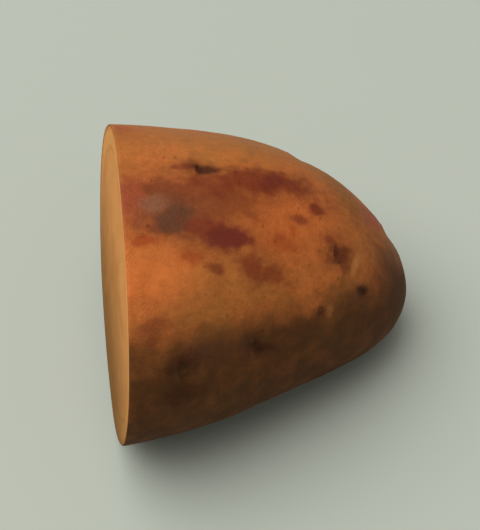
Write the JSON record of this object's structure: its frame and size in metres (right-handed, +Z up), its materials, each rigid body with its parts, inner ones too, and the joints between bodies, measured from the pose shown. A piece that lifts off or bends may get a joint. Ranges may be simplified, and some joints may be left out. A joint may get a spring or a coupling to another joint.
{
  "type": "half potato",
  "caption": "Half of a raw potato, cut straight across its middle, with its skin, eyes and flat cut face, lying on its belly.",
  "frame": {"origin": "middle of the small flat spot under the belly, on the surface that the half lies on", "axes": "+Z up, +X to the nose along the half's length, so the cut face looks to -X and leans back 7 degrees, and +Y across to the far side"},
  "size_m": [0.0697, 0.07, 0.0579],
  "materials": {
    "skin": "thin satin skin, orange-tan with russet and dark blotches, and a moist pale yellow cut face"
  },
  "bodies": {
    "root": {"potato": "skin"}
  },
  "joints": []
}
